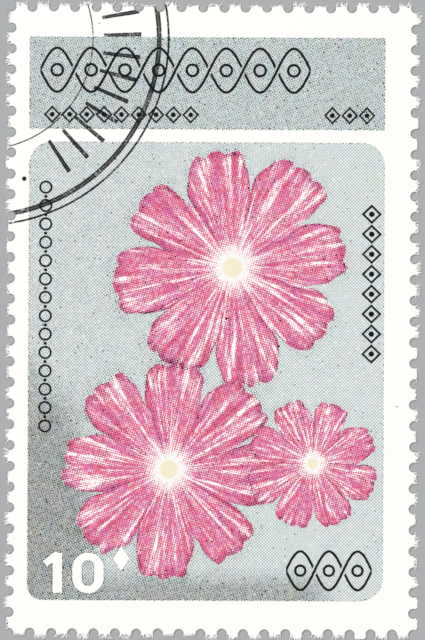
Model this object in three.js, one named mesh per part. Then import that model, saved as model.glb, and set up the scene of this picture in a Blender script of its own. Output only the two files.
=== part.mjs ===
// A used postage stamp: one sheet of printed paper with torn, perforated edges, lying face up.
// Millimetres. +X is the stamp's right, +Y its top, +Z out of the printed face.
// The origin is the middle of the back, on the surface that the stamp lies on.

import * as THREE from "three";

// Perforation: the gauge is the number of holes in 20 mm, and there is a hole at each corner.
const GAUGE_LENGTH = 20;
const GAUGE_ACROSS = 12.5;
const GAUGE_DOWN = 12.75;
const TEETH_ACROSS = 19;
const TEETH_DOWN = 30;
const HOLE_RADIUS = 0.38;
const HOLE_SEGMENTS = 4;
const PIN_WANDER = 0.05;

// Paper
const PAPER_THICKNESS = 0.1;
const PAPER_COLOUR = 0xf6f7f5;
const PAPER_ROUGHNESS = 0.8;

// Teeth: how far the torn paper stands beyond the line through the hole centres.
// The shoulder is where a tooth leaves the hole's edge, as a share of its reach.
const LONGEST_REACH = 0.5;
const SHOULDER_SHARE = 0.45;
const TIP_POINTS = 4;
const RAGGEDNESS = 0.5;

// Each side runs from one corner hole to the next, anticlockwise seen from the front.
// usual is a common reach there, longest the tooth that reaches furthest, and cleanTeeth tore
// straight across, counted from the side's first corner.
const width = (TEETH_ACROSS * GAUGE_LENGTH) / GAUGE_ACROSS;
const height = (TEETH_DOWN * GAUGE_LENGTH) / GAUGE_DOWN;
const SIDES = [
  { teeth: TEETH_ACROSS, turn: 0, usual: 0.42, longest: 9, cleanTeeth: [16] },
  { teeth: TEETH_DOWN, turn: 1, usual: 0.34, longest: 17, cleanTeeth: [0, 1, 12, 13, 23, 24] },
  { teeth: TEETH_ACROSS, turn: 2, usual: 0.36, longest: 0, cleanTeeth: [] },
  { teeth: TEETH_DOWN, turn: 3, usual: 0.3, longest: 21, cleanTeeth: [10, 11] },
];

// Repeatable scatter between 0 and 1 for the tooth and the point along its tip.
function scatter(side, tooth, point = 0) {
  const wave = Math.sin(side * 57.31 + tooth * 12.9898 + point * 78.233) * 4375.85;
  return wave - Math.floor(wave);
}

// The reach of one tooth beyond the line of hole centres.
function toothReach(side, tooth) {
  if (tooth === SIDES[side].longest) return LONGEST_REACH;
  return Math.min(SIDES[side].usual * (0.45 + 1.1 * scatter(side, tooth)), LONGEST_REACH);
}

// The holes' spacing along a side.
function pitchOf(side) {
  const { teeth, turn } = SIDES[side];
  return (turn % 2 === 1 ? height : width) / teeth;
}

// A hole's centre in the side's own frame: each pin stands a little off its even place.
function holeCentre(side, hole) {
  const atCorner = hole === 0 || hole === SIDES[side].teeth;
  const wander = (way) => (atCorner ? 0 : PIN_WANDER * (scatter(side, hole, way) - 0.5));
  return { u: hole * pitchOf(side) + wander(0.3), out: wander(0.7) };
}

// Turns a point of a side's own frame, along the side and outwards from it, into the stamp's.
function placer(side) {
  const { turn } = SIDES[side];
  const upright = turn % 2 === 1;
  const halfLength = (upright ? height : width) / 2;
  const halfBreadth = (upright ? width : height) / 2;
  const along = new THREE.Vector2(1, 0).rotateAround(new THREE.Vector2(), (turn * Math.PI) / 2);
  const outward = new THREE.Vector2(along.y, -along.x);
  return (u, out) =>
    new THREE.Vector2()
      .addScaledVector(along, u - halfLength)
      .addScaledVector(outward, out + halfBreadth);
}

// The torn tip of one tooth: its highest point has the full reach, the others fall short of it.
function addTip(outline, side, tooth) {
  const place = placer(side);
  const reach = toothReach(side, tooth);
  const shoulder = reach * SHOULDER_SHARE;
  const sideGap = Math.sqrt(HOLE_RADIUS ** 2 - shoulder ** 2);
  const before = holeCentre(side, tooth);
  const after = holeCentre(side, tooth + 1);
  const ragged = SIDES[side].cleanTeeth.includes(tooth) ? 0 : RAGGEDNESS;
  const falls = Array.from({ length: TIP_POINTS }, (_, i) => ragged * scatter(side, tooth, i + 1));
  const least = Math.min(...falls);
  const from = before.u + sideGap;
  const step = (after.u - sideGap - from) / (TIP_POINTS + 1);
  const points = [
    place(from, before.out + shoulder),
    ...falls.map((fall, i) => place(from + (i + 1) * step, reach * (1 - fall + least))),
    place(after.u - sideGap, after.out + shoulder),
  ];
  points.forEach((point) => outline.lineTo(point.x, point.y));
}

// The edge of the hole after a tooth, round the inside, to where the next tooth leaves it.
function addHole(outline, side, tooth) {
  const { teeth, turn } = SIDES[side];
  const atCorner = tooth === teeth - 1;
  const { u, out } = holeCentre(side, tooth + 1);
  const centre = placer(side)(u, out);
  const next = atCorner ? [(side + 1) % SIDES.length, 0] : [side, tooth + 1];
  const lift = (reach) => Math.asin((reach * SHOULDER_SHARE) / HOLE_RADIUS);
  const facing = (turn * Math.PI) / 2;
  const start = facing + Math.PI + lift(toothReach(side, tooth));
  const end = facing + (atCorner ? Math.PI / 2 : 0) - lift(toothReach(...next));
  outline.absarc(centre.x, centre.y, HOLE_RADIUS, start, end, true);
}

function stampOutline() {
  const outline = new THREE.Shape();
  SIDES.forEach(({ teeth }, side) => {
    for (let tooth = 0; tooth < teeth; tooth += 1) {
      addTip(outline, side, tooth);
      addHole(outline, side, tooth);
    }
  });
  return outline;
}

// The sheet: the outline given the paper's thickness, its back on the ground.
function stampSheet() {
  const geometry = new THREE.ExtrudeGeometry(stampOutline(), {
    depth: PAPER_THICKNESS,
    bevelEnabled: false,
    curveSegments: HOLE_SEGMENTS,
  });
  const paper = new THREE.MeshStandardMaterial({
    name: "printed paper",
    color: PAPER_COLOUR,
    roughness: PAPER_ROUGHNESS,
    metalness: 0,
  });
  const sheet = new THREE.Mesh(geometry, paper);
  sheet.name = "stamp_sheet";
  return sheet;
}

const stamp = new THREE.Group();
stamp.add(stampSheet());

export default stamp;
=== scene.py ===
import math
import random

import bmesh
import bpy
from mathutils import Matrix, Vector, noise


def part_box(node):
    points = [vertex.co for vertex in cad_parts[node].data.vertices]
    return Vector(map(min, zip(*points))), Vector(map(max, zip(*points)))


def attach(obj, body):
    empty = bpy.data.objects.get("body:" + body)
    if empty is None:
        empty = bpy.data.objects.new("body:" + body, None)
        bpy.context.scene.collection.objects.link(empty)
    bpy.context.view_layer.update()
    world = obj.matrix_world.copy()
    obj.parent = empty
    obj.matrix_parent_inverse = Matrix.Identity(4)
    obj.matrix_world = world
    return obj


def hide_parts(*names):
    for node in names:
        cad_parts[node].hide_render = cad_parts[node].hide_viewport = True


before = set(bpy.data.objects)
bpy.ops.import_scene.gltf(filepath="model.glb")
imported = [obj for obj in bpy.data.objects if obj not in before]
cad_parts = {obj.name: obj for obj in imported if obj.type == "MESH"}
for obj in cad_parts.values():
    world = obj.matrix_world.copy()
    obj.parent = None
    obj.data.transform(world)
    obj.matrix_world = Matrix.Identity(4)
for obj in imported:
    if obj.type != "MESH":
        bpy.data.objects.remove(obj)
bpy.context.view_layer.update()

# The sheet. One leaf of coated white stamp paper, a tenth of a millimetre thick, printed in
# offset litho and gummed on the back. Round pins punched a row of holes along each side, and
# the stamp was torn from its neighbours along them, so its teeth end in ragged, thin tips.
MM = 0.001
TEETH = (19, 30)
LONGEST_TOOTH = 0.5 * MM
HOLE_RADIUS = 0.38 * MM
PIN_WANDER = 0.035 * MM
RIM_NEAR = 0.045 * MM
WELD = 0.001 * MM
FACES_UP = 0.5

low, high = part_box("stamp_sheet")
thickness = high.z - low.z
hole_line = Vector((high.x - LONGEST_TOOTH, high.y - LONGEST_TOOTH))
pitch = Vector((2 * hole_line.x / TEETH[0], 2 * hole_line.y / TEETH[1]))


def side_of(point):
    """The side nearest to a point: the axis that it faces, its sign there, and how far the
    point stands beyond that side's line of hole centres."""
    past = [abs(point[axis]) - hole_line[axis] for axis in (0, 1)]
    axis = 0 if past[0] > past[1] else 1
    return axis, math.copysign(1, point[axis]), past[axis]


def tooth_of(point):
    """The tooth that a point beyond the hole line is on: its axis, sign and number."""
    axis, sign, _ = side_of(point)
    number = math.floor((point[1 - axis] + hole_line[1 - axis]) / pitch[1 - axis])
    return axis, sign, min(max(number, 0), TEETH[1 - axis] - 1)


def on_hole(point):
    """Whether a point is on the rim of a punched hole, which tearing left clean."""
    axis, sign, past = side_of(point)
    spot = (point[1 - axis] + hole_line[1 - axis]) / pitch[1 - axis]
    along = (spot - round(spot)) * pitch[1 - axis]
    return abs(math.hypot(along, past) - HOLE_RADIUS) < RIM_NEAR


bm = bmesh.new()
bm.from_mesh(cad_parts["stamp_sheet"].data)
bmesh.ops.remove_doubles(bm, verts=bm.verts, dist=WELD)
bm.normal_update()
bmesh.ops.delete(bm, geom=[f for f in bm.faces if f.normal.z < FACES_UP], context="FACES")
bmesh.ops.dissolve_faces(bm, faces=bm.faces)

# Round each hole's rim: find the pin's centre, a little off its even place, cut the rim's
# edges finer and put every point of it at the pin's radius.
KEYS_A_MM = 1000
PIN_FIT_ROUNDS = 12
RIM_CUTS = 2


def hole_of(point):
    """The even place of the hole nearest to a point, in whole thousandths of a millimetre."""
    axis, sign, _ = side_of(point)
    spot = [0, 0]
    spot[axis] = sign * hole_line[axis]
    number = round((point[1 - axis] + hole_line[1 - axis]) / pitch[1 - axis])
    spot[1 - axis] = number * pitch[1 - axis] - hole_line[1 - axis]
    return tuple(round(place * KEYS_A_MM / MM) for place in spot)


pins = {}
for vert in bm.verts:
    if on_hole(vert.co):
        pins.setdefault(hole_of(vert.co), []).append(vert.co.xy)
for hole, rim in pins.items():
    pin = Vector(hole) / KEYS_A_MM * MM
    for _ in range(PIN_FIT_ROUNDS):
        guesses = [point - (point - pin).normalized() * HOLE_RADIUS for point in rim]
        pin = sum(guesses, Vector((0, 0))) / len(guesses)
    pins[hole] = pin
rim_edges = [e for e in bm.edges if all(on_hole(v.co) for v in e.verts)]
bmesh.ops.subdivide_edges(bm, edges=rim_edges, cuts=RIM_CUTS)
for vert in bm.verts:
    if on_hole(vert.co):
        pin = pins[hole_of(vert.co)]
        vert.co.xy = pin + (vert.co.xy - pin).normalized() * HOLE_RADIUS

# The full reach of each tooth, and the teeth that tore straight across, which have more than
# FEW_POINTS points at their full reach.
TIP_FROM = 0.03 * MM
CLEAN_SPREAD = 0.002 * MM
FEW_POINTS = 2

heights = {}
for vert in bm.verts:
    if side_of(vert.co)[2] > TIP_FROM and not on_hole(vert.co):
        heights.setdefault(tooth_of(vert.co), []).append(side_of(vert.co)[2])
reach_of = {tooth: max(found) for tooth, found in heights.items()}
clean_teeth = {
    tooth for tooth, found in heights.items()
    if sum(abs(height - max(found)) < CLEAN_SPREAD for height in found) > FEW_POINTS
}

# Cut the face into cells of half a hole's spacing, and just inside the holes.
INSIDE_HOLES = 0.06 * MM
CUT_SNAP = 1e-8

for axis in (0, 1):
    cuts = [k / 2 * pitch[axis] - hole_line[axis] for k in range(2 * TEETH[axis] + 1)]
    cuts += [sign * (hole_line[axis] - HOLE_RADIUS - INSIDE_HOLES) for sign in (-1, 1)]
    across = Vector((1, 0, 0)) if axis == 0 else Vector((0, 1, 0))
    for cut in cuts:
        bmesh.ops.bisect_plane(
            bm, geom=bm.verts[:] + bm.edges[:] + bm.faces[:], dist=CUT_SNAP,
            plane_co=across * cut, plane_no=across,
        )

# Tear the tips back unevenly. Each pull is a share of how far the tooth stands out: its own
# part, more at its corners, clumps of fibres that held or gave, and a fine grain.
TEAR_SEED = 61
TEAR_CUTS = 3
TEAR_BACK = 0.4
TEAR_SPREAD = 0.2
TEAR_CORNERS = 0.4
TEAR_CLUMPS = 1.0
CLUMP_SIZE = 0.17 * MM
TEAR_GRAIN = 0.13
TEAR_MOST = 0.85
CLEAN_BACK = 0.3
CLEAN_GRAIN = 0.06

tips = [
    e for e in bm.edges
    if e.is_boundary and all(side_of(v.co)[2] > TIP_FROM for v in e.verts)
]
bmesh.ops.subdivide_edges(bm, edges=tips, cuts=TEAR_CUTS)
tear = random.Random(TEAR_SEED)
tooth_pull = {tooth: tear.uniform(0.0, TEAR_SPREAD) for tooth in sorted(reach_of)}
for vert in bm.verts:
    axis, sign, past = side_of(vert.co)
    if not vert.is_boundary or past < TIP_FROM or on_hole(vert.co):
        continue
    tooth = tooth_of(vert.co)
    spot = (vert.co[1 - axis] + hole_line[1 - axis]) / pitch[1 - axis] - tooth[2] - 0.5
    aside = spot * pitch[1 - axis] / (pitch[1 - axis] / 2 - HOLE_RADIUS)
    if tooth in clean_teeth:
        pull = CLEAN_BACK + tear.uniform(0.0, CLEAN_GRAIN)
    else:
        pull = tooth_pull.get(tooth, 0) + TEAR_BACK + TEAR_CORNERS * aside ** 2
        pull += TEAR_CLUMPS * noise.noise(vert.co / CLUMP_SIZE)
        pull += tear.uniform(-TEAR_GRAIN, TEAR_GRAIN)
    from_hole = pitch[1 - axis] / 2 - abs(spot) * pitch[1 - axis]
    least = math.sqrt(max((HOLE_RADIUS + PIN_WANDER) ** 2 - from_hole ** 2, 0))
    vert.co[axis] -= sign * min(past * min(max(pull, 0.0), TEAR_MOST), max(past - least, 0))


def walk_rim(mesh, along):
    """Notes each rim vertex's distance along the rim, and returns the rim's length."""
    edge = next(e for e in mesh.edges if e.is_boundary)
    start = vert = edge.verts[0]
    run = 0.0
    while run == 0.0 or vert != start:
        vert[along] = run
        run += edge.calc_length()
        vert = edge.other_vert(vert)
        edge = next(e for e in vert.link_edges if e.is_boundary and e != edge)
    return run


along = bm.verts.layers.float.new("along")
rim_length = walk_rim(bm, along)

# Give the sheet its thickness. The tips are torn thin, more from the front than from the
# back, and the thinning is full from two thirds of the longest tooth's reach.
TIP_THINNING = 0.5
THINNING_RATE = 1.5
FRONT_THINNING = 0.75

flat = bmesh.ops.extrude_face_region(bm, geom=bm.faces[:], use_keep_orig=True)
under = [g for g in flat["geom"] if isinstance(g, bmesh.types.BMVert)]
bmesh.ops.translate(bm, verts=under, vec=(0, 0, -thickness))
bmesh.ops.recalc_face_normals(bm, faces=bm.faces)
middle = (low.z + high.z) / 2
for vert in bm.verts:
    past = side_of(vert.co)[2]
    if past > TIP_FROM:
        thin = TIP_THINNING * min(past / LONGEST_TOOTH * THINNING_RATE, 1) * thickness
        vert.co.z += thin * (-FRONT_THINNING if vert.co.z > middle else 1 - FRONT_THINNING)

# The bake map: the front at full size, the back at half, and the rim in rows above the back.
# A face steeper than MAPPED_FLAT is part of the rim.
EDGE_GAP = 0.005
FRONT_SHARE = 0.99
BACK_SCALE = 0.5
ROW_FILL = 0.8
MAPPED_FLAT = 0.3

per_metre = FRONT_SHARE / (high.y - low.y)
back_left = 2 * EDGE_GAP + (high.x - low.x) * per_metre
rim_bottom = 3 * EDGE_GAP + FRONT_SHARE * BACK_SCALE
row_length = (1 - 2 * EDGE_GAP - back_left) / per_metre
rows = math.ceil(rim_length / row_length) + 1
row_height = (1 - EDGE_GAP - rim_bottom) / rows
uv = bm.loops.layers.uv.new("OFBake")
bm.normal_update()
for face in bm.faces:
    if abs(face.normal.z) > MAPPED_FLAT and face.calc_center_median().z > middle:
        for loop in face.loops:
            loop[uv].uv = ((loop.vert.co.x - low.x) * per_metre + EDGE_GAP,
                           (loop.vert.co.y - low.y) * per_metre + EDGE_GAP)
    elif abs(face.normal.z) > MAPPED_FLAT:
        for loop in face.loops:
            loop[uv].uv = ((high.x - loop.vert.co.x) * per_metre * BACK_SCALE + back_left,
                           (loop.vert.co.y - low.y) * per_metre * BACK_SCALE + EDGE_GAP)
    else:
        runs = [loop.vert[along] for loop in face.loops]
        if max(runs) - min(runs) > rim_length / 2:
            runs = [run + rim_length * (run < rim_length / 2) for run in runs]
        row = math.floor(min(runs) / row_length)
        for loop, run in zip(face.loops, runs):
            level = ROW_FILL * row_height * (loop.vert.co.z > middle)
            loop[uv].uv = (back_left + (run - row * row_length) * per_metre,
                           rim_bottom + row * row_height + level)

sheet_mesh = bpy.data.meshes.new("sheet")
bm.to_mesh(sheet_mesh)
bm.free()
sheet = bpy.data.objects.new("sheet", sheet_mesh)
bpy.context.scene.collection.objects.link(sheet)
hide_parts("stamp_sheet")
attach(sheet, "root")


# The sheet's material, from the paper up: white coated paper, the litho inks as fine dots,
# solid black line work, and the postmark's oily ink on top of it all.
def linear(code):
    """An sRGB hex colour in the linear light that the nodes use."""
    parts = [int(code[i:i + 2], 16) / 255 for i in (1, 3, 5)]
    return tuple(c / 12.92 if c <= 0.04045 else ((c + 0.055) / 1.055) ** 2.4 for c in parts) + (1,)


stamp_paper = bpy.data.materials.new("litho-printed stamp paper")
stamp_paper.use_nodes = True
tree = stamp_paper.node_tree
tree.nodes.clear()


def add(kind, ins=(), **settings):
    """One node of the material in hand, with its settings and its inputs by place or name.
    An input is a value, a socket, or a node, which means its first live output."""
    node = tree.nodes.new("ShaderNode" + kind)
    for name, value in settings.items():
        setattr(node, name, value)
    for place, source in ins.items() if isinstance(ins, dict) else enumerate(ins):
        if isinstance(source, bpy.types.Node):
            source = next(out for out in source.outputs if out.enabled)
        if isinstance(source, bpy.types.NodeSocket):
            tree.links.new(source, node.inputs[place])
        else:
            node.inputs[place].default_value = source
    return node


# Where a point of the print is, in millimetres from the stamp's middle. The paper's tooth
# lets the ink's edges wander by a few hundredths.
INK_WANDER = 0.05
PAPER_TOOTH = 0.2
MID_NOISE = (0.5, 0.5, 0.5)

coords = add("TexCoord")
flat_place = add("Mapping", {"Vector": coords.outputs["Object"], "Scale": (1 / MM, 1 / MM, 0)})
tooth_noise = add("TexNoise", {"Vector": flat_place, "Scale": 1 / PAPER_TOOTH, "Detail": 2.0})
wander = add("VectorMath", [tooth_noise.outputs["Color"], MID_NOISE], operation="SUBTRACT")
ink_place = add("VectorMath", [wander, (INK_WANDER, INK_WANDER, 0), flat_place],
                operation="MULTIPLY_ADD")


# Dot screens: each ink is laid down in round dots about 0.17 mm apart, at its own angle.
SCREEN_PITCH = 0.17
SCREEN_SOFTNESS = 0.42


def screen(turn):
    """A dot screen: 1 in the middle of each dot and -1 midway between dots. With it comes a
    number between 0 and 1 for each dot, because no two dots print alike."""
    turned = add("Mapping", {"Vector": ink_place, "Rotation": (0, 0, math.radians(turn)),
                             "Scale": (1 / SCREEN_PITCH, 1 / SCREEN_PITCH, 1)})
    waves = add("VectorMath", [turned, (math.tau, math.tau, 0)], operation="MULTIPLY")
    waves = add("VectorMath", [waves], operation="COSINE")
    waves = add("VectorMath", [waves, (0.5, 0.5, 0)], operation="DOT_PRODUCT")
    cell = add("VectorMath", [turned, (0.5, 0.5, 0)], operation="ADD")
    cell = add("VectorMath", [cell], operation="FLOOR")
    return waves, add("TexWhiteNoise", {"Vector": cell}, noise_dimensions="3D")


def dots(coverage, ink_screen, softness=SCREEN_SOFTNESS):
    """Where an ink lands, for the share of the paper that it covers."""
    level = add("Math", [coverage, -2.0, 1.0], operation="MULTIPLY_ADD")
    full = (1 + softness) / 2
    bend = add("Math", [add("Math", [level, level], operation="MULTIPLY"), full, full],
               operation="MULTIPLY_ADD")
    rise = add("Math", [ink_screen, add("Math", [level, bend], operation="MULTIPLY")],
               operation="SUBTRACT")
    return add("MapRange", [rise, -softness, softness, 0.0, 1.0], interpolation_type="SMOOTHSTEP")


# The banner and the panel: plain grey-blue areas, the panel's corners rounded, the lower left
# one less than the others. The grey deepens towards the panel's lower left and its bottom.
BANNER = {"middle": (-0.45, 17.82, 0), "half": (13.35, 3.45, 0), "radius": 0.1}
PANEL = {"middle": (-0.45, -3.81, 0), "half": (13.35, 17.21, 0), "radius": 1.75}
PANEL_CORNER = {"middle": (-9.8, -16.02, 0), "half": (4.0, 5.0, 0), "radius": 1.1}
DOTTED_EDGE = 0.07


def plate(middle, half, radius):
    """The distance outside a rounded rectangle, less than 0 inside it."""
    off = add("VectorMath", [ink_place, middle], operation="SUBTRACT")
    off = add("VectorMath", [off], operation="ABSOLUTE")
    core = tuple(size - radius if size else 0 for size in half)
    off = add("VectorMath", [off, core], operation="SUBTRACT")
    off = add("VectorMath", [off, (0, 0, 0)], operation="MAXIMUM")
    return add("Math", [add("VectorMath", [off], operation="LENGTH"), radius], operation="SUBTRACT")


banner_far = plate(**BANNER)
panel_far = add("Math", [plate(**PANEL), plate(**PANEL_CORNER)], operation="MINIMUM")
banner = add("MapRange", [banner_far, DOTTED_EDGE, -DOTTED_EDGE, 0.0, 1.0])
panel = add("MapRange", [panel_far, DOTTED_EDGE, -DOTTED_EDGE, 0.0, 1.0])

# The shade's place, and where its fades start and are full, in millimetres. After it come the
# shares of the paper that the tint and the black cover: the plain panel's tint and the full
# shade's, the full shade's black, and the plain panel's black towards its left and right.
SHADE_MIDDLE = (-17.5, -14.0, 0)
SHADE_STRETCH = (1.2, 1.42, 1)
SHADE_FADE = (7.2, 3.6)
SHADE_MOTTLE = 4.0
MOTTLE_SIZE = 2.86
LOW_FADE = (-18.2, -20.4)
LOW_DEPTH = 0.85
LOW_END_FADE = (10.0, 7.0)
PANEL_TINT = (0.645, 0.85)
SHADE_BLACK = 0.255
BLACK_SIDES = (-9.0, 9.0)
SIDE_BLACK = (0.14, 0.04)

shade_place = add("Mapping", {"Vector": flat_place, "Location": SHADE_MIDDLE,
                              "Scale": SHADE_STRETCH}, vector_type="TEXTURE")
shade_far = add("VectorMath", [shade_place], operation="LENGTH")
mottle = add("TexNoise", {"Vector": flat_place, "Scale": 1 / MOTTLE_SIZE, "Detail": 3.0,
                          "Roughness": 0.55})
shade_far = add("Math", [mottle, -SHADE_MOTTLE, shade_far], operation="MULTIPLY_ADD")
shade = add("MapRange", [shade_far, *SHADE_FADE, 0.0, 1.0], interpolation_type="SMOOTHSTEP")
print_part = add("SeparateXYZ", [flat_place])
low_shade = add("MapRange", [print_part.outputs["Y"], *LOW_FADE, 0.0, LOW_DEPTH],
                interpolation_type="SMOOTHSTEP")
low_ends = add("MapRange", [print_part.outputs["X"], *LOW_END_FADE, 0.0, 1.0],
               interpolation_type="SMOOTHSTEP")
low_shade = add("Math", [low_shade, low_ends], operation="MULTIPLY")
shade = add("Math", [shade, low_shade], operation="MAXIMUM")
plain_black = add("MapRange", [print_part.outputs["X"], *BLACK_SIDES, *SIDE_BLACK])
panel_black = add("MapRange", [shade, 0.0, 1.0, plain_black, SHADE_BLACK])
panel_tint = add("MapRange", [shade, 0.0, 1.0, *PANEL_TINT])

# Blooms: three open eight-petalled flowers, pink with broken white streaks running out from
# a pale heart, and darker speckled rims. Each later one lies over those before it.
BLOOMS = (
    {"middle": (1.5, 4.0, 0), "radius": 8.9, "turn": 0.13, "seed": 3.0},
    {"middle": (-3.2, -11.2, 0), "radius": 8.3, "turn": 0.42, "seed": 11.0},
    {"middle": (7.6, -10.7, 0), "radius": 4.9, "turn": 0.8, "seed": 23.0},
)
PETALS = 8
WAVERS = 2.6
PETAL_WAVER = 0.35
PETAL_SPREAD = 0.08
NOTCH_POWER = 5.0
NOTCH_DEPTH = 0.38
BLUNT_TEETH = 2
TOOTH_DEPTH = 0.035
PETAL_EDGE = 0.008

# Streaks run out from the heart, white where the noise is high, each with a dark flank, and
# are broken here and there.
STREAKS = 15.0
STREAK_RUN = 2.0
WHITE_FROM = (0.52, 0.67)
STREAK_BREAKS = 0.59
BREAK_FADE = (0.36, 0.52)
BREAK_LEAVES = 0.2
FLANK_AT = 0.53
FLANK_WIDTH = 0.03
FLANK_BLACK = 0.18

# Shares of the paper that a petal's pink and black cover, between its streaks and on them,
# and what the ribs, the rim, the lap over the next petal and the white streaks change.
RIBS = 7
HEART_FADE = (0.04, 0.31)
RIM_WIDTH = 0.09
LAP_FADE = (0.36, 0.5)
STREAK_FADE = (0.3, 0.6)
PETAL_PINK = (1.08, 0.72)
RIB_PINK = -0.12
RIM_PINK = 0.15
LAP_PINK = 0.3
WHITE_PINK = -0.57
LEAST_PINK = 0.05
PETAL_BLACK = (0.27, 0.03)
RIM_BLACK = 0.22
LAP_BLACK = 0.16
CAST_SHADE = 0.09
CAST_REACH = 0.13
CORE_EDGE = (0.07, 0.1)


def bloom(middle, radius, turn, seed):
    """One flower: where it lies, its pink, its black, the shade round it and its pale core."""
    off = add("VectorMath", [flat_place, middle], operation="SUBTRACT")
    waver = add("TexNoise", {"Vector": off, "Scale": WAVERS / radius, "Detail": 1.0})
    part = add("SeparateXYZ", [off])
    angle = add("Math", [part.outputs["Y"], part.outputs["X"]], operation="ARCTAN2")
    count = add("Math", [angle, PETALS / math.tau, turn], operation="MULTIPLY_ADD")
    count = add("Math", [waver, PETAL_WAVER, count], operation="MULTIPLY_ADD")
    across = add("Math", [add("Math", [count], operation="FRACT"), 0.5], operation="SUBTRACT")
    aside = add("Math", [add("Math", [across], operation="ABSOLUTE"), 2.0], operation="MULTIPLY")
    petal = add("Math", [add("Math", [count], operation="FLOOR"), seed], operation="ADD")
    chance = add("TexWhiteNoise", {"W": petal}, noise_dimensions="1D")
    out = add("Math", [add("VectorMath", [off], operation="LENGTH"), radius], operation="DIVIDE")

    # The petal's outline: full in the middle, notched between petals, with blunt teeth.
    notch = add("Math", [aside, NOTCH_POWER], operation="POWER")
    edge = add("Math", [notch, -NOTCH_DEPTH, 1.0], operation="MULTIPLY_ADD")
    wave = add("Math", [across, BLUNT_TEETH * math.tau], operation="MULTIPLY")
    wave = add("Math", [wave], operation="COSINE")
    edge = add("Math", [add("Math", [wave], operation="ABSOLUTE"), TOOTH_DEPTH, edge],
               operation="MULTIPLY_ADD")
    edge = add("Math", [chance, -PETAL_SPREAD, edge], operation="MULTIPLY_ADD")
    inside = add("Math", [edge, out], operation="SUBTRACT")
    lies = add("MapRange", [inside, -PETAL_EDGE, PETAL_EDGE, 0.0, 1.0])

    # Ribs and streaks run out from the heart.
    way = add("VectorMath", [off], operation="NORMALIZE")
    spun = add("VectorMath", [way, (STREAKS, STREAKS, 0)], operation="MULTIPLY")
    run = add("Math", [out, STREAK_RUN, seed], operation="MULTIPLY_ADD")
    run = add("CombineXYZ", [0.0, 0.0, run])
    streak_place = add("VectorMath", [spun, run], operation="ADD")
    streak = add("TexNoise", {"Vector": streak_place, "Scale": 1.0, "Detail": 3.0, "Roughness": 0.62})
    white_streak = add("MapRange", [streak, *WHITE_FROM, 0.0, 1.0],
                       interpolation_type="SMOOTHSTEP")
    broken = add("TexNoise", {"Vector": off, "Scale": 1 / STREAK_BREAKS, "Detail": 2.0})
    broken = add("MapRange", [broken, *BREAK_FADE, BREAK_LEAVES, 1.0])
    white_streak = add("Math", [white_streak, broken], operation="MULTIPLY")
    flank = add("Math", [streak, FLANK_AT], operation="SUBTRACT")
    flank = add("Math", [flank], operation="ABSOLUTE")
    flank = add("MapRange", [flank, FLANK_WIDTH, 0.0, 0.0, FLANK_BLACK])
    rib = add("Math", [add("Math", [across, RIBS * math.pi], operation="MULTIPLY")], operation="COSINE")
    rib = add("Math", [rib], operation="ABSOLUTE")

    heart = add("MapRange", [out, *HEART_FADE, 0.0, 1.0], interpolation_type="SMOOTHSTEP")
    rim = add("MapRange", [inside, RIM_WIDTH, 0.0, 0.0, 1.0], interpolation_type="SMOOTHSTEP")
    lap = add("MapRange", [across, *LAP_FADE, 0.0, 1.0], interpolation_type="SMOOTHSTEP")
    pink = add("MapRange", [streak, *STREAK_FADE, *PETAL_PINK])
    for place, more in ((rib, RIB_PINK), (rim, RIM_PINK), (lap, LAP_PINK), (white_streak, WHITE_PINK)):
        pink = add("Math", [place, more, pink], operation="MULTIPLY_ADD")
    pink = add("Math", [pink, heart], operation="MULTIPLY", use_clamp=True)
    pink = add("Math", [pink, LEAST_PINK], operation="MAXIMUM")
    dark = add("MapRange", [streak, *STREAK_FADE, *PETAL_BLACK])
    dark = add("Math", [dark, flank], operation="ADD")
    for place, more in ((rim, RIM_BLACK), (lap, LAP_BLACK)):
        dark = add("Math", [place, more, dark], operation="MULTIPLY_ADD")
    dark = add("Math", [dark, heart], operation="MULTIPLY")
    shaded = add("MapRange", [inside, -CAST_REACH, 0.0, 0.0, CAST_SHADE],
                 interpolation_type="SMOOTHSTEP")
    core = add("MapRange", [out, *CORE_EDGE, 1.0, 0.0])
    return lies, pink, dark, shaded, core


lies_all = pink_all = dark_all = core_all = 0.0
for flower in BLOOMS:
    lies, pink, dark, shaded, core = bloom(**flower)
    lies_all = add("Math", [lies_all, lies], operation="MAXIMUM")
    pink_all = add("Mix", {0: lies, 2: pink_all, 3: pink})
    dark_all = add("Mix", {0: lies, 2: add("Math", [dark_all, shaded], operation="ADD"), 3: dark})
    core_all = add("Mix", {0: lies, 2: core_all, 3: core})
bare = add("Math", [1.0, lies_all], operation="SUBTRACT")

# The value: a plain bold numeral, left white, with a small lozenge beside it.
ONE_STEM = {"middle": (-11.55, -19.0, 0), "half": (0.36, 1.5, 0), "radius": 0.03}
FLAG_MIDDLE = (-12.0, -17.95, 0)
FLAG_TURN = math.radians(38)
FLAG_HALF = (0.62, 0.27, 0)
NOUGHT = {"middle": (-9.25, -19.0, 0), "half": (1.18, 1.53, 0), "radius": 1.17}
NOUGHT_HOLE = {"middle": (-9.25, -19.0, 0), "half": (0.46, 0.95, 0), "radius": 0.45}
LOZENGE_MIDDLE = (-6.75, -17.9, 0)
LOZENGE_HALF = 0.62
LOZENGE_SLOPE = 0.65
NUMERAL_EDGE = 0.03

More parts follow.
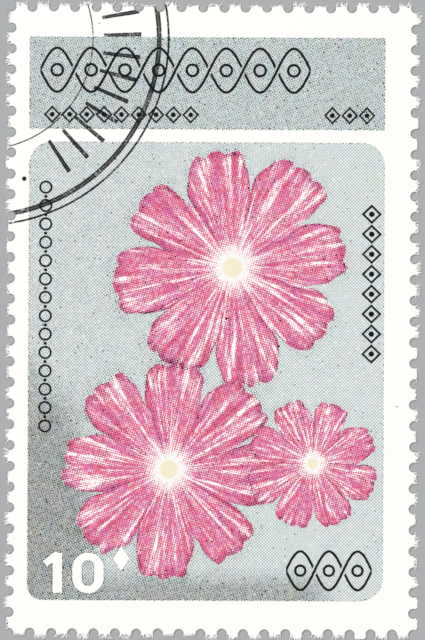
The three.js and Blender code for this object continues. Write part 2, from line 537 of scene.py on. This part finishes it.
one_stem = plate(**ONE_STEM)
flag_place = add("Mapping", {"Vector": ink_place, "Location": FLAG_MIDDLE,
                             "Rotation": (0, 0, FLAG_TURN)}, vector_type="TEXTURE")
flag_off = add("VectorMath", [flag_place], operation="ABSOLUTE")
flag_off = add("VectorMath", [flag_off, FLAG_HALF], operation="SUBTRACT")
flag_part = add("SeparateXYZ", [flag_off])
one_flag = add("Math", [flag_part.outputs["X"], flag_part.outputs["Y"]], operation="MAXIMUM")
nought_out = plate(**NOUGHT)
nought_in = plate(**NOUGHT_HOLE)
nought_hole = add("Math", [nought_in, -1.0], operation="MULTIPLY")
nought = add("Math", [nought_out, nought_hole], operation="MAXIMUM")
numeral_far = add("Math", [add("Math", [one_stem, one_flag], operation="MINIMUM"), nought],
                  operation="MINIMUM")
lozenge_off = add("VectorMath", [ink_place, LOZENGE_MIDDLE], operation="SUBTRACT")
lozenge_off = add("VectorMath", [lozenge_off], operation="ABSOLUTE")
lozenge_far = add("VectorMath", [lozenge_off, (1.0, LOZENGE_SLOPE, 0)], operation="DOT_PRODUCT")
lozenge_far = add("Math", [lozenge_far, -LOZENGE_HALF], operation="ADD")
numeral_far = add("Math", [numeral_far, lozenge_far], operation="MINIMUM")
numeral = add("MapRange", [numeral_far, NUMERAL_EDGE, -NUMERAL_EDGE, 1.0, 0.0])

# Ink shares of the whole print. A few black dots print too full, a few tint dots hardly print,
# and the black gathers in a line of dots along the edges of the banner and the panel.
BANNER_TINT = 0.765
BANNER_BLACK = 0.2
TINT_TURN, PINK_TURN, BLACK_TURN = 45, 15, 72
EDGE_BAND = (-0.1, -0.03)
EDGE_BLACK = 0.3
BLACK_GAIN = (0.5, 1.5)
BLOTS = 0.012
BLOT_INK = 0.28
TINT_GAIN = (0.88, 1.12)
MISSES = 0.02
MISSED_INK = 0.18
PINK_GAIN = 0.17
GAIN_FULL_AT = 0.35

tint_share = add("Math", [panel, panel_tint], operation="MULTIPLY")
tint_share = add("Math", [banner, BANNER_TINT, tint_share], operation="MULTIPLY_ADD")
tint_share = add("Math", [tint_share, bare], operation="MULTIPLY")
tint_share = add("Math", [tint_share, numeral], operation="MULTIPLY")
black_share = add("Math", [panel, panel_black], operation="MULTIPLY")
black_share = add("Math", [banner, BANNER_BLACK, black_share], operation="MULTIPLY_ADD")
black_share = add("Math", [black_share, bare, dark_all], operation="MULTIPLY_ADD")
black_share = add("Math", [black_share, numeral], operation="MULTIPLY")
tint_screen, tint_chance = screen(TINT_TURN)
pink_screen, pink_chance = screen(PINK_TURN)
black_screen, black_chance = screen(BLACK_TURN)
edge_far = add("Math", [banner_far, panel_far], operation="MINIMUM")
edge_far = add("Math", [edge_far, add("Math", [numeral_far, -1.0], operation="MULTIPLY")],
               operation="MAXIMUM")
edge_ink = add("MapRange", [edge_far, *EDGE_BAND, 0.0, EDGE_BLACK])
edge_ink = add("Math", [edge_ink, add("Math", [banner, panel], operation="ADD")],
               operation="MULTIPLY")
edge_ink = add("Math", [edge_ink, numeral], operation="MULTIPLY")
black_share = add("Math", [black_share, edge_ink], operation="ADD")
black_gain = add("MapRange", [black_chance, 0.0, 1.0, *BLACK_GAIN])
black_share = add("Math", [black_share, black_gain], operation="MULTIPLY")
inked = add("Math", [tint_share, pink_all], operation="ADD")
blot = add("Math", [black_chance, 1 - BLOTS], operation="GREATER_THAN")
blot = add("Math", [blot, inked], operation="MULTIPLY")
black_share = add("Math", [blot, BLOT_INK, black_share], operation="MULTIPLY_ADD")
tint_gain = add("MapRange", [tint_chance, 0.0, 1.0, *TINT_GAIN])
tint_share = add("Math", [tint_share, tint_gain], operation="MULTIPLY")
miss = add("Math", [tint_chance, MISSES], operation="LESS_THAN")
tint_share = add("Math", [miss, -MISSED_INK, tint_share], operation="MULTIPLY_ADD",
                 use_clamp=True)
pink_share = add("Math", [pink_all, numeral], operation="MULTIPLY")
pink_gain = add("MapRange", [pink_chance, 0.0, 1.0, -PINK_GAIN, PINK_GAIN])
full_gain = add("MapRange", [pink_all, 0.0, GAIN_FULL_AT, 0.0, 1.0])
pink_gain = add("Math", [pink_gain, full_gain], operation="MULTIPLY")
pink_share = add("Math", [pink_share, pink_gain], operation="ADD", use_clamp=True)
cream_share = add("Math", [core_all, numeral], operation="MULTIPLY")

# Line work in solid black: traditional borders along the banner and up the panel's sides.
# What they take is a border's middle, its turn in degrees, how many repeats it has, and the
# length of one, the border's height and the width of its lines in millimetres.
LINE_BLUR = 0.02
OVER_GAP = 1.15
EYE_RING = 0.13
LOZENGE_WIDTH = 0.42
LOZENGE_DOT = 0.1
LINK_DOT = 0.05


def border(middle, turn, half):
    """A border's own place, along and across it, and whether a point is within its length."""
    place = add("Mapping", {"Vector": ink_place, "Location": middle,
                            "Rotation": (0, 0, math.radians(turn))}, vector_type="TEXTURE")
    part = add("SeparateXYZ", [place])
    ends = add("Math", [add("Math", [part.outputs["X"]], operation="ABSOLUTE"), half],
               operation="LESS_THAN")
    return part.outputs["X"], part.outputs["Y"], ends


def cell_place(along_it, across_it, length):
    """A place within one repeat of a border, from the repeat's middle."""
    run = add("Math", [along_it, 1 / length], operation="MULTIPLY")
    run = add("Math", [add("Math", [run], operation="FRACT"), -0.5], operation="ADD")
    run = add("Math", [run, length], operation="MULTIPLY")
    return run, add("CombineXYZ", [run, across_it, 0.0])


def drawn(far, line, ends):
    """Black where far from a line's middle is under half its width."""
    inked = add("MapRange", [far, line / 2 + LINE_BLUR, line / 2 - LINE_BLUR, 0.0, 1.0])
    return add("Math", [inked, ends], operation="MULTIPLY")


def braid(middle, turn, repeats, length, height, line):
    """Two waves plaited over and under each other, with a small ring in each eye. At the
    braid's two ends they meet in a point."""
    along_it, across_it, ends = border(middle, turn, repeats * length / 2)
    between = add("Math", [add("Math", [along_it], operation="ABSOLUTE"),
                           (repeats - 0.5) * length / 2], operation="LESS_THAN")
    shift = add("Math", [along_it, length * (repeats % 2) / 2], operation="ADD")
    phase = add("Math", [shift, math.pi / length], operation="MULTIPLY")
    swing = add("Math", [add("Math", [phase], operation="SINE"), height / 2], operation="MULTIPLY")
    swap = add("Math", [phase], operation="COSINE")
    slope = add("Math", [swap, height / 2 * math.pi / length], operation="MULTIPLY")
    steep = add("Math", [add("Math", [slope, slope, 1.0], operation="MULTIPLY_ADD")], operation="SQRT")
    rise = add("Math", [add("Math", [across_it, swing], operation="SUBTRACT")], operation="ABSOLUTE")
    fall = add("Math", [add("Math", [across_it, swing], operation="ADD")], operation="ABSOLUTE")
    rise = add("Math", [rise, steep], operation="DIVIDE")
    fall = add("Math", [fall, steep], operation="DIVIDE")
    rise_over = add("Math", [swap, 0.0], operation="GREATER_THAN")
    fall_over = add("Math", [swap, 0.0], operation="LESS_THAN")
    near_rise = add("Math", [rise, OVER_GAP * line], operation="LESS_THAN")
    near_fall = add("Math", [fall, OVER_GAP * line], operation="LESS_THAN")
    near_rise = add("Math", [near_rise, between], operation="MULTIPLY")
    near_fall = add("Math", [near_fall, between], operation="MULTIPLY")
    fall = add("Math", [near_rise, rise_over, fall], operation="MULTIPLY_ADD")
    rise = add("Math", [near_fall, fall_over, rise], operation="MULTIPLY_ADD")
    far = add("Math", [rise, fall], operation="MINIMUM")
    _, eye = cell_place(shift, across_it, length)
    ring = add("Math", [add("VectorMath", [eye], operation="LENGTH"), height * EYE_RING],
               operation="SUBTRACT")
    far = add("Math", [far, add("Math", [ring], operation="ABSOLUTE")], operation="MINIMUM")
    return drawn(far, line, ends)


def lozenges(middle, turn, repeats, length, height, line):
    """Open lozenges, each with a dot in it."""
    along_it, across_it, ends = border(middle, turn, repeats * length / 2)
    shift = add("Math", [along_it, length * (repeats % 2) / 2], operation="ADD")
    run, spot = cell_place(shift, across_it, length)
    wide, tall = length * LOZENGE_WIDTH, height / 2
    sides = add("Math", [add("Math", [run], operation="ABSOLUTE"), 1 / wide], operation="MULTIPLY")
    rise = add("Math", [across_it], operation="ABSOLUTE")
    sides = add("Math", [rise, 1 / tall, sides], operation="MULTIPLY_ADD")
    far = add("Math", [sides, -1.0], operation="ADD")
    far = add("Math", [add("Math", [far], operation="ABSOLUTE"),
                       wide * tall / math.hypot(wide, tall)], operation="MULTIPLY")
    dot = add("Math", [add("VectorMath", [spot], operation="LENGTH"), -height * LOZENGE_DOT],
              operation="ADD")
    return drawn(add("Math", [far, dot], operation="MINIMUM"), line, ends)


def links(middle, turn, repeats, length, height, line):
    """Open rings with a dot between each pair."""
    along_it, across_it, ends = border(middle, turn, repeats * length / 2 - line)
    shift = add("Math", [along_it, length * (repeats % 2) / 2], operation="ADD")
    _, spot = cell_place(shift, across_it, length)
    _, gap = cell_place(add("Math", [shift, length / 2], operation="ADD"), across_it, length)
    ring = add("Math", [add("VectorMath", [spot], operation="LENGTH"), (line - height) / 2],
               operation="ADD")
    ring = add("Math", [ring], operation="ABSOLUTE")
    dot = add("Math", [add("VectorMath", [gap], operation="LENGTH"), -LINK_DOT], operation="ADD")
    return drawn(add("Math", [ring, dot], operation="MINIMUM"), line, ends)


line_work = [
    braid((-2.85, 18.8, 0), 0, 8, 2.54, 3.3, 0.19),
    lozenges((-6.9, 15.45, 0), 0, 9, 1.3, 1.15, 0.14),
    lozenges((10.25, 15.45, 0), 0, 3, 1.3, 1.15, 0.14),
    links((-12.55, 1.0, 0), 90, 14, 1.38, 1.0, 0.15),
    lozenges((11.95, 2.8, 0), 90, 8, 1.5, 1.3, 0.16),
    braid((8.85, -18.75, 0), 0, 3, 2.15, 2.9, 0.19),
]
lines = 0.0
for drawing in line_work:
    lines = add("Math", [lines, drawing], operation="MAXIMUM")

# The postmark: a hand stamp's oily black ink, a broad ring between two fine ones, with plain
# bars standing between the rings. Only its lower right quarter fell on the stamp.
POSTMARK = (-17.43, 21.14, 0)
RINGS = ((8.37, 0.09), (13.34, 0.37), (14.05, 0.15))
BAR_RING = {"middle": 10.6, "half": 1.4, "width": 0.29}
BAR_STEP = math.radians(8.3)
BAR_SHIFT = 0.3
BARS_FROM, BARS_TO = math.radians(-60), math.radians(14)
SQUEEZED = (0.14, 0.08)
THIN_INK = 0.9
MARK_GRAIN = 0.222
MARK_PATCHES = 2.0
PATCH_WEIGHT = 0.5
MARK_FADE = (0.52, 0.7)
WORN_INK = 0.35


def stamped(far, line, ends):
    """A hand stamp's stroke: the ink is squeezed to its edges and thinner along its middle."""
    squeeze = add("MapRange", [far, line / 2 - SQUEEZED[0], line / 2 - SQUEEZED[1], THIN_INK, 1.0])
    return add("Math", [drawn(far, line, ends), squeeze], operation="MULTIPLY")


mark_off = add("VectorMath", [ink_place, POSTMARK], operation="SUBTRACT")
mark_out = add("VectorMath", [mark_off], operation="LENGTH")
marks = 0.0
for radius, line in RINGS:
    far = add("Math", [add("Math", [mark_out, radius], operation="SUBTRACT")], operation="ABSOLUTE")
    marks = add("Math", [marks, stamped(far, line, 1.0)], operation="MAXIMUM")
mark_part = add("SeparateXYZ", [mark_off])
mark_angle = add("Math", [mark_part.outputs["Y"], mark_part.outputs["X"]], operation="ARCTAN2")
bar_run = add("Math", [mark_angle, 1 / BAR_STEP, BAR_SHIFT], operation="MULTIPLY_ADD")
bar_run = add("Math", [add("Math", [bar_run], operation="FRACT"), -0.5], operation="ADD")
bar_run = add("Math", [bar_run, BAR_STEP * BAR_RING["middle"]], operation="MULTIPLY")
bar_far = add("Math", [bar_run], operation="ABSOLUTE")
bar_rise = add("Math", [mark_out, BAR_RING["middle"]], operation="SUBTRACT")
bar_rise = add("Math", [add("Math", [bar_rise], operation="ABSOLUTE"),
                        BAR_RING["width"] / 2 - BAR_RING["half"]], operation="ADD")
bar_far = add("Math", [bar_far, bar_rise], operation="MAXIMUM")
bar_ends = add("Math", [mark_angle, BARS_FROM], operation="GREATER_THAN")
bar_ends = add("Math", [bar_ends, add("Math", [mark_angle, BARS_TO], operation="LESS_THAN")],
               operation="MULTIPLY")
marks = add("Math", [marks, stamped(bar_far, BAR_RING["width"], bar_ends)], operation="MAXIMUM")
mark_grain = add("TexNoise", {"Vector": flat_place, "Scale": 1 / MARK_GRAIN, "Detail": 3.0,
                              "Roughness": 0.7})
mark_wear = add("TexNoise", {"Vector": flat_place, "Scale": 1 / MARK_PATCHES, "Detail": 1.0})
mark_grain = add("Math", [mark_wear, PATCH_WEIGHT, mark_grain], operation="MULTIPLY_ADD")
mark_grain = add("MapRange", [mark_grain, *MARK_FADE, WORN_INK, 1.0])
marks = add("Math", [marks, mark_grain], operation="MULTIPLY")

# Stray ink: a few small black specks, each with its radius.
SPECKS = (
    ((-14.18, 10.6, 0), 0.17),
    ((1.05, 0.15, 0), 0.09),
    ((5.1, 0.0, 0), 0.07),
    ((5.0, -1.9, 0), 0.1),
    ((-8.6, 22.3, 0), 0.05),
    ((13.9, -6.4, 0), 0.05),
)
for spot, radius in SPECKS:
    away = add("VectorMath", [ink_place, spot], operation="DISTANCE")
    marks = add("Math", [marks, drawn(away, 2 * radius, 1.0)], operation="MAXIMUM")

# Light falls on the inks one over another: each dot filters what lies under it.
PAPER = "#FBFBF8"
TINT_INK = "#BBC9CB"
SHADE_INK = "#A7ACAC"
TINT_CAST = (0.2, 0.08, 0.2)
CAST_SIZE = 1.25
PINK_INK = "#EB6893"
PINK_COOL = "#E56FA8"
HUE_SIZE = 1.11
PATCH_EDGE = (0.4, 0.6)
PINK_SOFTNESS = 0.75
BLACK_SOFTNESS = 0.6
CREAM_INK = "#F8EFD4"
BLACK_INK = "#303233"
LINE_INK = "#0C0C0D"
MARK_INK = "#17181B"

colour = linear(PAPER)
tint_dots = dots(tint_share, tint_screen)
pink_dots = dots(pink_share, pink_screen, PINK_SOFTNESS)
black_dots = dots(black_share, black_screen, BLACK_SOFTNESS)
hue = add("TexNoise", {"Vector": flat_place, "Scale": 1 / HUE_SIZE, "Detail": 1.0})
hue = add("MapRange", [hue, *PATCH_EDGE, 0.0, 1.0])
pink_ink = add("Mix", {0: hue, 6: linear(PINK_INK), 7: linear(PINK_COOL)}, data_type="RGBA")
cast = add("TexNoise", {"Vector": flat_place, "Scale": 1 / CAST_SIZE, "Detail": 2.0})
cast = add("VectorMath", [cast.outputs["Color"], MID_NOISE], operation="SUBTRACT")
tint_ink = add("Mix", {0: shade, 6: linear(TINT_INK), 7: linear(SHADE_INK)}, data_type="RGBA")
tint_ink = add("VectorMath", [cast, TINT_CAST, tint_ink], operation="MULTIPLY_ADD")
for share, ink in (
    (tint_dots, tint_ink),
    (cream_share, linear(CREAM_INK)),
    (pink_dots, pink_ink),
    (black_dots, linear(BLACK_INK)),
    (lines, linear(LINE_INK)),
    (marks, linear(MARK_INK)),
):
    colour = add("Mix", {0: share, 6: colour, 7: ink}, data_type="RGBA", blend_type="MULTIPLY")

# Back and rim: bare off-white paper, the back with a thin, uneven coat of dried gum.
GUMMED = "#EFEBDD"
THIN_GUM = "#F3F0E6"
GUM_PATCH = 4.0
PAPER_GRAIN = 0.143 * MM
GRAIN_DEPTH = 0.02 * MM

height_part = add("SeparateXYZ", [coords.outputs["Object"]])
is_front = add("Math", [height_part.outputs["Z"], middle], operation="GREATER_THAN")
gum_patch = add("TexNoise", {"Vector": flat_place, "Scale": 1 / GUM_PATCH, "Detail": 3.0})
gum_patch = add("MapRange", [gum_patch, *PATCH_EDGE, 0.0, 1.0])
gum = add("Mix", {0: gum_patch, 6: linear(GUMMED), 7: linear(THIN_GUM)}, data_type="RGBA")
colour = add("Mix", {0: is_front, 6: gum, 7: colour}, data_type="RGBA")

fibre_bump = add("TexNoise", {"Vector": coords.outputs["Object"], "Scale": 1 / PAPER_GRAIN,
                              "Detail": 4.0, "Roughness": 0.6})
bump = add("Bump", {"Height": fibre_bump, "Strength": 0.12, "Distance": GRAIN_DEPTH})
shader = add("BsdfPrincipled", {"Base Color": colour, "Roughness": 0.62, "Normal": bump,
                                "IOR": 1.5, "Specular IOR Level": 0.2})
add("OutputMaterial", {"Surface": shader})
sheet.data.materials.append(stamp_paper)

# Torn fibres. Tearing pulls the paper's cellulose fibres out of the teeth, so a fringe of
# short, curling white strands stands out of each tip.
FIBRES_A_TOOTH = 38
FIBRES_A_CLEAN_TOOTH = 8
FIBRE_RADIUS = (0.007 * MM, 0.015 * MM)
SLIVER_SHARE = 0.35
SLIVER_WIDTH = 3.2
FIBRE_LENGTH = (0.15 * MM, 0.42 * MM)
FIBRE_SIDES = 4
FIBRE_CUTS = 3
FIBRE_TAPER = 0.35
FIBRE_LEAN = 38
LEAST_RISE = 0.3
FIBRE_CURL = 0.5
ROOT_REACH = (0.05, 0.55)
ROOT_DEPTH = (0.3, 0.7)
ROOT_MARGIN = 0.93
FRINGE_SEED = 125
STRAND_HALF = 0.5

fringe = random.Random(FRINGE_SEED)
bm = bmesh.new()
bmesh.ops.create_cone(bm, cap_ends=True, segments=FIBRE_SIDES, radius1=1.0, radius2=FIBRE_TAPER,
                      depth=2 * STRAND_HALF)
sides = [e for e in bm.edges if abs(e.verts[0].co.z - e.verts[1].co.z) > STRAND_HALF]
bmesh.ops.subdivide_edges(bm, edges=sides, cuts=FIBRE_CUTS)
strand = bpy.data.meshes.new("strand")
bm.to_mesh(strand)
bm.free()
tuft_mesh = bpy.data.meshes.new("tuft")
bm = bmesh.new()
for tooth, reach in sorted(reach_of.items()):
    tuft = bmesh.new()
    axis, sign, number = tooth
    outward = Vector((sign, 0, 0)) if axis == 0 else Vector((0, sign, 0))
    sideways = Vector((0, 1, 0)) if axis == 0 else Vector((1, 0, 0))
    root_line = outward * hole_line[axis] + sideways * (
        (number + 0.5) * pitch[1 - axis] - hole_line[1 - axis])
    half_tip = pitch[1 - axis] / 2 - ROOT_MARGIN * HOLE_RADIUS
    for _ in range(FIBRES_A_CLEAN_TOOTH if tooth in clean_teeth else FIBRES_A_TOOTH):
        radius = fringe.uniform(*FIBRE_RADIUS)
        width = radius * (SLIVER_WIDTH if fringe.random() < SLIVER_SHARE else 1)
        lean = math.radians(fringe.gauss(0, FIBRE_LEAN))
        length = fringe.uniform(*FIBRE_LENGTH)
        start = reach * fringe.uniform(*ROOT_REACH)
        length = min(length, (reach - start - radius) / max(math.cos(lean), LEAST_RISE))
        if length < 2 * radius:
            continue
        root = root_line + outward * start + sideways * half_tip * fringe.uniform(-1, 1)
        root.z = low.z + thickness * fringe.uniform(*ROOT_DEPTH)
        way = outward * math.cos(lean) + sideways * math.sin(lean)
        turned = sideways * math.cos(lean) - outward * math.sin(lean)
        curl = fringe.uniform(-FIBRE_CURL, FIBRE_CURL) * length
        tuft.from_mesh(strand)
        for vert in tuft.verts[-len(strand.vertices):]:
            t = vert.co.z + STRAND_HALF
            vert.co = (root + way * length * t + turned * (vert.co.x * width + curl * t * t)
                       + Vector((0, 0, vert.co.y * radius)))
    tuft.to_mesh(tuft_mesh)
    tuft.free()
    bm.from_mesh(tuft_mesh)
bpy.data.meshes.remove(tuft_mesh)
bpy.data.meshes.remove(strand)
bmesh.ops.recalc_face_normals(bm, faces=bm.faces)
for vert in bm.verts:
    for axis in (0, 1, 2):
        vert.co[axis] = min(max(vert.co[axis], low[axis]), high[axis])
fibre_mesh = bpy.data.meshes.new("torn_fibres")
bm.to_mesh(fibre_mesh)
bm.free()
fibres = bpy.data.objects.new("torn_fibres", fibre_mesh)
bpy.context.scene.collection.objects.link(fibres)
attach(fibres, "root")

# Bleached cellulose: dull, white and a little darker here and there.
FIBRE_DULL = "#E9E9E4"
FIBRE_WHITE = "#FCFCFA"
FIBRE_PATCH = 0.11 * MM
TONE_EDGE = (0.35, 0.65)

torn_cellulose = bpy.data.materials.new("torn cellulose fibre")
torn_cellulose.use_nodes = True
tree = torn_cellulose.node_tree
tree.nodes.clear()
coords = add("TexCoord")
tone = add("TexNoise", {"Vector": coords.outputs["Object"], "Scale": 1 / FIBRE_PATCH,
                        "Detail": 1.0})
tone = add("MapRange", [tone, *TONE_EDGE, 0.0, 1.0])
colour = add("Mix", {0: tone, 6: linear(FIBRE_DULL), 7: linear(FIBRE_WHITE)}, data_type="RGBA")
shader = add("BsdfPrincipled", {"Base Color": colour, "Roughness": 0.85, "IOR": 1.53})
add("OutputMaterial", {"Surface": shader})
fibres.data.materials.append(torn_cellulose)

# The floor: a plain, pale matt board.
FLOOR_HALF = 0.5
FLOOR_BELOW = 0.01 * MM
BOARD_GREY = "#A9ABAD"

bm = bmesh.new()
bmesh.ops.create_grid(bm, x_segments=1, y_segments=1, size=FLOOR_HALF)
bmesh.ops.translate(bm, verts=bm.verts, vec=(0, 0, low.z - FLOOR_BELOW))
floor_mesh = bpy.data.meshes.new("floor")
bm.to_mesh(floor_mesh)
bm.free()
floor = bpy.data.objects.new("floor", floor_mesh)
bpy.context.scene.collection.objects.link(floor)
board = bpy.data.materials.new("matt grey board")
board.use_nodes = True
tree = board.node_tree
tree.nodes.clear()
shader = add("BsdfPrincipled", {"Base Color": linear(BOARD_GREY), "Roughness": 0.9})
add("OutputMaterial", {"Surface": shader})
floor.data.materials.append(board)

# Light: one broad soft lamp up to the left, a weaker one opposite, and an even pale sky.
LAMPS = (
    {"name": "key", "spot": (-0.33, 0.31, 0.34), "size": 0.18, "power": 2.65},
    {"name": "fill", "spot": (0.34, -0.3, 0.34), "size": 0.18, "power": 2.1},
)
SKY_WHITE = "#FFFFFF"
SKY_STRENGTH = 0.16

for lamp in LAMPS:
    light = bpy.data.lights.new(lamp["name"], "AREA")
    light.size = lamp["size"]
    light.energy = lamp["power"]
    holder = bpy.data.objects.new(lamp["name"], light)
    holder.location = lamp["spot"]
    holder.rotation_euler = (-Vector(lamp["spot"])).to_track_quat("-Z", "Y").to_euler()
    bpy.context.scene.collection.objects.link(holder)
sky = bpy.data.worlds.new("sky")
sky.use_nodes = True
sky.node_tree.nodes["Background"].inputs["Color"].default_value = linear(SKY_WHITE)
sky.node_tree.nodes["Background"].inputs["Strength"].default_value = SKY_STRENGTH
bpy.context.scene.world = sky
bpy.context.scene.view_settings.view_transform = "Standard"

# The camera looks straight down on the stamp, as a flatbed scanner does, and the stamp lies
# about a quarter of a degree askew and a little off the picture's middle.
PICTURE_ROWS = 640
ROWS_A_MM = 13.31
LENS, SENSOR = 200.0, 36.0
NEAREST, FARTHEST = 0.01, 5.0
OFF_MIDDLE = (0.015 * MM, 0.05 * MM)
ASKEW = math.radians(0.28)

camera_data = bpy.data.cameras.new("camera")
camera_data.lens = LENS
camera_data.sensor_width = SENSOR
camera_data.clip_start = NEAREST
camera_data.clip_end = FARTHEST
camera = bpy.data.objects.new("camera", camera_data)
picture_height = PICTURE_ROWS / ROWS_A_MM * MM
camera.location = (*OFF_MIDDLE, high.z + picture_height * LENS / SENSOR)
camera.rotation_euler = (0, 0, ASKEW)
bpy.context.scene.collection.objects.link(camera)
bpy.context.scene.camera = camera
